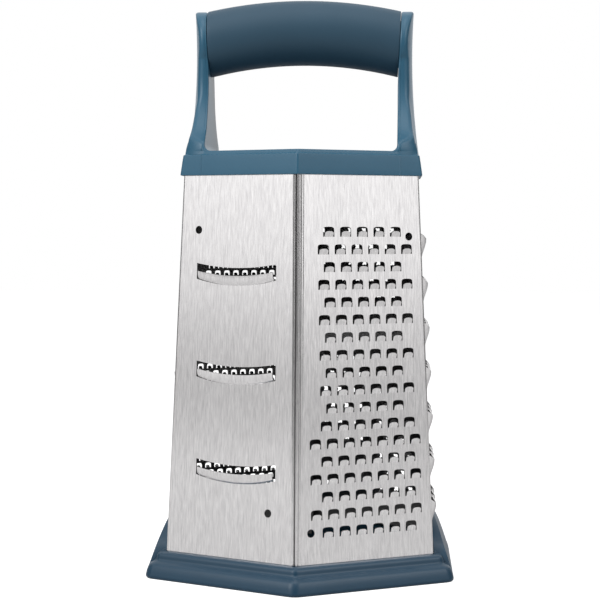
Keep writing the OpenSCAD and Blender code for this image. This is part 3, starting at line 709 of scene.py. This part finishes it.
def post(sign):
    """Rings up a post, each from its outer side round both edges to its inner face.

    The long edges of the outer side are quarter circles, smaller where the foot thins out. At
    the ear's top the thickness closes with a rounding too.
    """
    z = post_heights()[:, None]
    deep = post_depth(z)
    top = np.clip((z - (EAR_HEIGHT + EAR_RADIUS - TOP_ROUND)) / TOP_ROUND, 0, 1)
    shrink = TOP_ROUND * (1 - np.sqrt(1 - top ** 2))
    y = deep * np.sin(np.linspace(-math.pi / 2, math.pi / 2, 23))
    room = post_out(deep, z) - post_in(z) - 1.0
    curve = np.minimum(np.minimum(EDGE_ROUND, deep * 0.6), np.maximum(0.05, 0.7 * room))
    near = np.clip(curve - (deep - np.abs(y)), 0, curve)
    out = post_out(y, z) - shrink - curve + np.sqrt(curve ** 2 - near ** 2)
    inner = post_in(z) + shrink
    soft = np.minimum(0.7, deep * 0.5)
    back_x = np.concatenate([out[:, -1:] - 0.35, inner + 0.7, inner + 0.2, inner], 1)
    back_y = deep - np.array([0.06, 0.12, 0.4, 1.0]) * soft
    across = np.array([0.5, 0.0, -0.5]) * (deep - soft)
    ring_x = np.concatenate([out, back_x, inner + 0 * across, back_x[:, ::-1]], 1)
    ring_y = np.concatenate([y, back_y, across, -back_y[:, ::-1]], 1)
    rings = np.stack([ring_x * sign, ring_y * sign, np.broadcast_to(z, ring_x.shape)], -1)
    count, around = ring_x.shape
    points = rings.reshape(-1, 3)
    cap = np.arange((count - 1) * around, count * around)
    foot = np.arange(around)[::-1]
    return [(points, grid(count, around, closed=True)), (points, [foot]), (points, [cap])]


def ridge(path, out, side, width=0.22, proud=0.09):
    """A fine triangular bead along a path: two feet sunk under the surface and a crest over it."""
    feet = path - out * 0.15
    rows = np.stack([feet - side * width, path + out * proud, feet + side * width], 1)
    return rows.reshape(-1, 3), grid(len(path), 3, closed=True)


def bow(height, depth, end):
    """A bowed bar: an ellipse carried along a circle, out to leaning end planes.

    For each point of the section the angle along the bow runs between the two places where its
    own circle meets the plane x = INNER_HALF + tan(GRIP_LEAN) (z - GRIP_LOW) - end. That angle
    is found by putting each guess's height back into the plane, six times over.
    """
    turn = np.linspace(0, 2 * math.pi, 48, endpoint=False)
    rise = np.sign(np.cos(turn)) * np.abs(np.cos(turn)) ** 0.94 * height / 2
    y = -np.sign(np.sin(turn)) * np.abs(np.sin(turn)) ** 0.94 * depth / 2
    radius = BOW_RADIUS + rise
    reach = np.full_like(radius, 0.2)
    for _ in range(6):
        z = BOW_MIDDLE + radius * np.cos(reach)
        reach = np.arcsin((INNER_HALF + math.tan(GRIP_LEAN) * (z - GRIP_LOW) - end) / radius)
    a = np.linspace(-1, 1, 41)[:, None] * reach
    return np.stack([radius * np.sin(a), np.broadcast_to(y, a.shape),
                     BOW_MIDDLE + radius * np.cos(a)], -1)


def parting_ridges(x_sign, y_sign):
    """The mould's parting bead on one side of one post, and on the collar below it."""
    z = np.concatenate([np.linspace(170.0, 206, 34),
                        EAR_HEIGHT + EAR_RADIUS * np.sin(np.radians(np.linspace(-25, 60, 18)))])
    line = np.maximum(PARTING, post_in(z) + 0.9)
    path = np.stack([x_sign * line, y_sign * (post_depth(z) - 0.07), z], -1)
    up_post = ridge(path, np.array([0.0, y_sign, 0.0]), np.array([y_sign, 0.0, 0.0]))
    z = np.array([160.15, 163.0, 166.0, 167.9])
    half = np.interp(z, [160.3, 167.85], [48.05, 46.95])
    path = np.stack([0 * z + x_sign * PARTING,
                     y_sign * (half - 0.5 * PARTING) / math.cos(math.radians(30)), z], -1)
    out = np.array([x_sign * 0.5, y_sign * 0.866, 0.0])
    across = np.array([x_sign * 0.866, -y_sign * 0.5, 0.0])
    return [up_post, ridge(path, out, across * x_sign * y_sign, proud=0.16)]


def moulded_skin(name, dark, light, rough, grains, clouds, relief, gloss, ior, sheen=0.0):
    """A moulded plastic or rubber skin: a fine grain and broad clouds between two tones.

    grains and clouds are counts per metre, rough the range of roughness over the grain, and
    relief how strongly the grain stands in the bump.
    """
    made = bpy.data.materials.new(name)
    made.use_nodes = True
    tree = made.node_tree
    shader = tree.nodes["Principled BSDF"]
    shader.inputs["IOR"].default_value = ior
    shader.inputs["Specular IOR Level"].default_value = gloss
    shader.inputs["Sheen Weight"].default_value = sheen
    shader.inputs["Sheen Roughness"].default_value = 0.5
    place = node(tree, "ShaderNodeTexCoord").outputs["Object"]
    grain = node(tree, "ShaderNodeTexNoise", {"Scale": grains, "Detail": 2.0}, {"Vector": place})
    cloud = node(tree, "ShaderNodeTexNoise", {"Scale": clouds, "Detail": 3.0}, {"Vector": place})
    tint = node(tree, "ShaderNodeMix", inputs={"Factor": cloud.outputs["Fac"]}, data_type="RGBA")
    tint.inputs[6].default_value = linear(dark)
    tint.inputs[7].default_value = linear(light)
    tree.links.new(tint.outputs[2], shader.inputs["Base Color"])
    dull = node(tree, "ShaderNodeMapRange", {"To Min": rough[0], "To Max": rough[1]},
                {"Value": grain.outputs["Fac"]})
    tree.links.new(dull.outputs["Result"], shader.inputs["Roughness"])
    bump = node(tree, "ShaderNodeBump", {"Strength": relief, "Distance": 0.1 * MM},
                {"Height": grain.outputs["Fac"]})
    tree.links.new(bump.outputs["Normal"], shader.inputs["Normal"])
    return made


# Injection-moulded polypropylene from a spark-eroded mould: its satin skin spreads the light
# softly, with grain about 0.35 mm across and clouds of 15 mm from the flow of the plastic
plastic = moulded_skin("moulded_polypropylene_blue_grey", "#2f5b73", "#35627a",
                       rough=(0.29, 0.4), grains=2800.0, clouds=65.0, relief=0.12, gloss=0.3,
                       ior=1.49)
bar = bow(height=18.7, depth=19.2, end=-0.5)
frame_parts = [collar] + post(-1) + post(1)
frame_parts += [(bar.reshape(-1, 3), grid(*bar.shape[:2], closed=True))]
for x_sign, y_sign in ((-1, -1), (-1, 1), (1, -1), (1, 1)):
    frame_parts += parting_ridges(x_sign, y_sign)
add_piece("handle_moulding", frame_parts, plastic, "handle_frame", smooth=40)


# The grip: a soft sleeve of thermoplastic rubber moulded over the bar. It
# fills the space between the ears, with a hair's gap at each end.
GRIP_GAP = 0.12
GRIP_END_ROUND = 0.3


def sleeve():
    """The grip's skin, its two rounded ends and the bore that lies on the bar."""
    skin = bow(height=26.3, depth=27.2, end=GRIP_GAP)
    tucked = bow(height=25.9, depth=26.8, end=GRIP_GAP)
    bore = bow(height=18.9, depth=19.4, end=GRIP_GAP)
    for last, before in ((0, 1), (-1, -2)):
        inward = skin[before] - skin[last]
        skin[last] += inward / np.linalg.norm(inward, axis=1)[:, None] * GRIP_END_ROUND
    return closed_rings(np.concatenate([tucked[:1], skin, tucked[-1:], bore[::-1]]))


# Moulded thermoplastic rubber, darker than the hard parts, with a dull and dense skin. Its
# pores of 0.4 mm are a little coarser than the real ones, so that they show
grip_rubber = moulded_skin("moulded_rubber_grip", "#274456", "#2c4a5d", rough=(0.5, 0.62),
                           grains=2500.0, clouds=55.0, relief=0.15, gloss=0.32, ior=1.5,
                           sheen=0.06)
add_piece("grip", [sleeve()], grip_rubber, "grip_sleeve", smooth=40)


# The carrier: a hard channel of the same polypropylene inside the base ring.
# The steel's lower edge snaps into it. It stays as the CAD made it.
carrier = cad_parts["base_carrier"]
carrier.data.materials.clear()
carrier.data.materials.append(plastic)


# The base ring: soft non-slip rubber moulded round the carrier, with a cove
# under its lip. Under each post a guard climbs the steel in a low arch.
SOLE = 1.55
# The pocket in which the carrier lies: its half widths and its top
POCKET_IN, POCKET_OUT, POCKET_TOP = 50.4, 56.1, 6.3
# The ring's outer side as heights and half widths, and the heights of its rows from PART_LOW,
# just over its widest place, to the lip
PART_LOW = 1.6
ring_z = np.array([0, 0.4, 1, 2, 3.2, 4.3, 5.2, 5.8, 6.2, 6.5, 6.8, 7.2, 7.8, 8.6, 9.2, 9.7,
                   10.05, 10.3])
ring_x = np.array([60.65, 61.05, 61.25, 61.1, 60.8, 60.4, 59.95, 59.4, 58.8, 58.2, 57.65, 57.2,
                   57, 56.85, 56.6, 56.2, 55.6, 54.6])
profile_z = np.array([1.6, 2.3, 3, 3.7, 4.3, 4.9, 5.4, 5.8, 6.15, 6.45, 6.75, 7.1, 7.5, 8, 8.6,
                      9.1, 9.5, 9.8, 10.1, 10.3])
# A guard's arch: its top, and its radius from half its width and its rise at the lip
GUARD_TOP = 22.8
GUARD_HALF, GUARD_RISE = 28.5, 12.5
GUARD_ARCH = (GUARD_HALF ** 2 + GUARD_RISE ** 2) / (2 * GUARD_RISE)
GUARD_REACH = 34.2


def ring_half(z):
    """Half width of the ring's outer side: a leaning face, a steep cove and a round lip."""
    low = smooth_line(z, ring_z, ring_x)
    return np.where(z > RING_TOP, steel_half(z) + 0.75, low)


def flare_half(z):
    """Half width of a guard's outer side, from the table to its top."""
    return smooth_line(z, [0, 0.4, 1, 2, 3.2, 5.5, 10.5, 15.4, 20.3, GUARD_TOP],
                       [60.65, 61.05, 61.25, 61.1, 60.8, 60.0, 58.4, 56.8, 55.1, 53.9])


def ring_round():
    """Once round the ring, for each point: its share of its face's half length, the direction
    that the surface faces, the turn of its face in degrees, and 1 where a guard stands."""
    fine = np.concatenate([np.linspace(-1, -0.7, 14), np.linspace(-0.68, 0.68, 33),
                           np.linspace(0.7, 1, 14)])
    plain = np.array([-1.0, -0.5, 0.0, 0.5, 1.0])
    corner = np.array([10, 20, 30, 40, 50])
    runs = []
    for k in range(6):
        turn = 60.0 * k
        guarded = k % 3 == 0
        share = fine if guarded else plain
        runs.append(np.stack(np.broadcast_arrays(share, turn, turn, float(guarded))))
        runs.append(np.stack(np.broadcast_arrays(1.0, turn + corner, turn, 0.0)))
    return np.concatenate(runs, 1)


def base_ring():
    """Closed rings over the ring's section, wider in rows where the guards stand.

    On the two side faces the arch z = top - R + root(R2 - y2) parts the section: below it the
    surface is the guard's flare, above it the ring's own cove, and a shelf joins them. On
    the other faces the parting lies in the bulge, where both agree, and the shelf vanishes.
    """
    share, normal, turn, kind = ring_round()
    y = share * GUARD_REACH
    arch = GUARD_TOP - GUARD_ARCH + np.sqrt(GUARD_ARCH ** 2 - y ** 2)
    part = np.where(kind > 0, np.maximum(arch, PART_LOW), PART_LOW)[None]
    # Twelve rows up to the parting, the first three held to the rounding of the sole's edge
    low = part * np.linspace(0, 1, 12)[:, None]
    low[:3] = np.minimum(low[:3], ring_z[:3, None])
    low_x = np.where(kind > 0, flare_half(low), ring_half(np.minimum(low, PART_LOW)))
    climb = (profile_z[:, None] - PART_LOW) / (RING_TOP - PART_LOW)
    high = part + climb * np.clip(RING_TOP - part, 0, None)
    high_x = ring_half(high)
    high_x = np.where(part > RING_TOP, steel_half(high) + 0.5, high_x)
    # The shelf between them, its edge rounded by up to 0.5 mm
    shelf_out, shelf_in = low_x[-1:], high_x[:1]
    soft = np.minimum(0.5, np.clip(shelf_out - shelf_in, 0, None) * 0.4)
    low_z = low.copy()
    low_z[-1:] = low[-1:] - soft
    shelf_x = np.concatenate([shelf_out - 0.3 * soft, shelf_out - soft])
    shelf_z = np.concatenate([part - 0.3 * soft, part])
    # Down along the steel, round the carrier's pocket and back to the table
    lip, level = np.maximum(part, RING_TOP), 0 * part
    inside = [
        (steel_half(lip) + 0.2, lip),
        (steel_half(lip - 0.3) + FIT, lip - 0.3),
        (steel_half(7.0) + FIT + level, 7.0 + level),
        (53.75 + level, POCKET_TOP + level), (POCKET_OUT + level, POCKET_TOP + level),
        (POCKET_OUT + level, SOLE + level), (POCKET_IN + level, SOLE + level),
        (POCKET_IN + level, level),
    ]
    half = np.concatenate([low_x, shelf_x, high_x] + [a for a, b in inside])
    z = np.concatenate([low_z, shelf_z, high] + [b for a, b in inside])
    # Corners are rounder the further out they lie. A guard's rows keep an even spacing along
    # the face and only near the corner take up the length that the face has at their height
    radius = np.interp(half, [50, 53.4, 55, 59, 61], [0.1, 0.8, 1.5, 4.2, 5.0])
    fade = np.clip((np.abs(share) - 0.72) / 0.28, 0, 1)
    fade = fade ** 2 * (3 - 2 * fade) * kind + (1 - kind)
    along = share * ((half - radius) / math.sqrt(3) * fade + GUARD_REACH * (1 - fade))
    n, t = np.radians(normal), np.radians(turn)
    out = half - radius
    x = out * np.cos(t) - along * np.sin(t) + radius * np.cos(n)
    y = out * np.sin(t) + along * np.cos(t) + radius * np.sin(n)
    return closed_rings(np.stack([x, y, z], -1))


# The same rubber in a darker tone, moulded smoother, so that its edges catch the light
ring_rubber = moulded_skin("moulded_rubber_base", "#1a394d", "#1f4056", rough=(0.3, 0.4),
                           grains=2000.0, clouds=55.0, relief=0.15, gloss=0.3, ior=1.5,
                           sheen=0.06)
add_piece("base_foot", [base_ring()], ring_rubber, "base_ring", smooth=42)


# The table and the light: a wide pale floor, a white surround and three soft
# panels. The surround is white to the eye and partly shaded in reflections, as
# the dark sides of a light tent would be.
TABLE_HALF = 3
# A little under the ring's sole, so that the two faces share no plane
TABLE_TOP = -0.1 * MM
floor_mesh = bpy.data.meshes.new("table")
floor_mesh.from_pydata([(x * TABLE_HALF, y * TABLE_HALF, TABLE_TOP)
                        for x, y in ((-1, -1), (1, -1), (1, 1), (-1, 1))], [], [(0, 1, 2, 3)])
floor = bpy.data.objects.new("table", floor_mesh)
bpy.context.scene.collection.objects.link(floor)
paper = bpy.data.materials.new("matt_white_paper")
paper.use_nodes = True
paper.cycles.emission_sampling = "NONE"
tree = paper.node_tree
paper_shader = tree.nodes["Principled BSDF"]
paper_shader.inputs["Base Color"].default_value = linear("#d2d2d2")
paper_shader.inputs["Roughness"].default_value = 0.95
paper_shader.inputs["Specular IOR Level"].default_value = 0.0
paper_shader.inputs["Emission Color"].default_value = (1, 1, 1, 1)
path = node(tree, "ShaderNodeLightPath")
mirrored = node(tree, "ShaderNodeMath", {1: 0.08}, {0: path.outputs["Is Glossy Ray"]},
                operation="MULTIPLY")
glow = node(tree, "ShaderNodeMath", {1: 0.85}, {0: path.outputs["Is Camera Ray"],
            2: mirrored.outputs[0]}, operation="MULTIPLY_ADD")
tree.links.new(glow.outputs[0], paper_shader.inputs["Emission Strength"])
floor_mesh.materials.append(paper)

world = bpy.data.worlds.new("white_surround")
world.use_nodes = True
# Not sampled as a lamp: such a sample doesn't say what kind of ray it serves
world.cycles.sampling_method = "NONE"
bpy.context.scene.world = world
tree = world.node_tree
tree.nodes.clear()
path = node(tree, "ShaderNodeLightPath")
sight = node(tree, "ShaderNodeMath", inputs={0: path.outputs["Is Camera Ray"],
             1: path.outputs["Is Transmission Ray"]}, operation="MAXIMUM")
# In reflections the surround fades towards the horizon, behind the camera and at both sides
toward = node(tree, "ShaderNodeTexCoord").outputs["Generated"]
parted = node(tree, "ShaderNodeSeparateXYZ", inputs={"Vector": toward})
height = parted.outputs["Z"]
beside = node(tree, "ShaderNodeMapRange", {"From Min": -0.3, "From Max": -0.04, "To Min": 1.0,
              "To Max": 0.12}, {"Value": parted.outputs["Y"]})
behind = node(tree, "ShaderNodeMapRange", {"From Min": 0.65, "From Max": 0.9},
              {"Value": parted.outputs["Y"]})
above = node(tree, "ShaderNodeMapRange", {"From Min": 0.3, "From Max": 0.6}, {"Value": height})
around = node(tree, "ShaderNodeMath", inputs={0: beside.outputs["Result"],
              1: behind.outputs["Result"]}, operation="MAXIMUM")
around = node(tree, "ShaderNodeMath", inputs={0: around.outputs[0],
              1: above.outputs["Result"]}, operation="MAXIMUM")
rise = node(tree, "ShaderNodeMapRange", {"From Min": -0.03, "From Max": 0.07, "To Min": 0.38,
            "To Max": 1.2}, {"Value": height})
ahead = node(tree, "ShaderNodeVectorMath", {1: (0.05, -1.0, 0.0)}, {0: toward},
             operation="DOT_PRODUCT")
dim = node(tree, "ShaderNodeMapRange", {"From Min": 0.75, "From Max": 0.95, "To Min": 1.0,
           "To Max": 0.12}, {"Value": ahead.outputs["Value"]})
shown = node(tree, "ShaderNodeMath", inputs={0: rise.outputs["Result"],
             1: dim.outputs["Result"]}, operation="MULTIPLY")
shown = node(tree, "ShaderNodeMath", inputs={0: shown.outputs[0], 1: around.outputs[0]},
             operation="MULTIPLY")
# A ray that meets the surround after a single reflection has depth 2
first = node(tree, "ShaderNodeMath", {1: 2.5}, {0: path.outputs["Ray Depth"]},
             operation="LESS_THAN")
direct = node(tree, "ShaderNodeMath", inputs={0: first.outputs[0],
              1: path.outputs["Is Glossy Ray"]}, operation="MULTIPLY")
mirrored = node(tree, "ShaderNodeMix", inputs={"Factor": direct.outputs[0]})
mirrored.inputs[2].default_value = 0.2
tree.links.new(shown.outputs[0], mirrored.inputs[3])
strength = node(tree, "ShaderNodeMix", inputs={"Factor": sight.outputs[0]})
tree.links.new(mirrored.outputs[0], strength.inputs[2])
strength.inputs[3].default_value = 1.0
surround = node(tree, "ShaderNodeBackground", {"Color": (1, 1, 1, 1)},
                {"Strength": strength.outputs[0]})
node(tree, "ShaderNodeOutputWorld", inputs={"Surface": surround.outputs[0]})


def soft_panel(name, place, size, power):
    """A square lamp aimed at the middle of the object."""
    lamp = bpy.data.lights.new(name, "AREA")
    lamp.shape = "SQUARE"
    lamp.size = size
    lamp.energy = power
    panel = bpy.data.objects.new(name, lamp)
    panel.location = place
    aim = Vector((0, 0, 0.12)) - Vector(place)
    panel.rotation_euler = aim.to_track_quat("-Z", "Y").to_euler()
    bpy.context.scene.collection.objects.link(panel)


soft_panel("key_panel", (-1.0, -0.9, 1.05), 0.9, 15)
soft_panel("fill_panel", (1.2, -0.7, 1.1), 0.9, 8)
soft_panel("top_panel", (0.0, -0.4, 1.5), 1.0, 7)
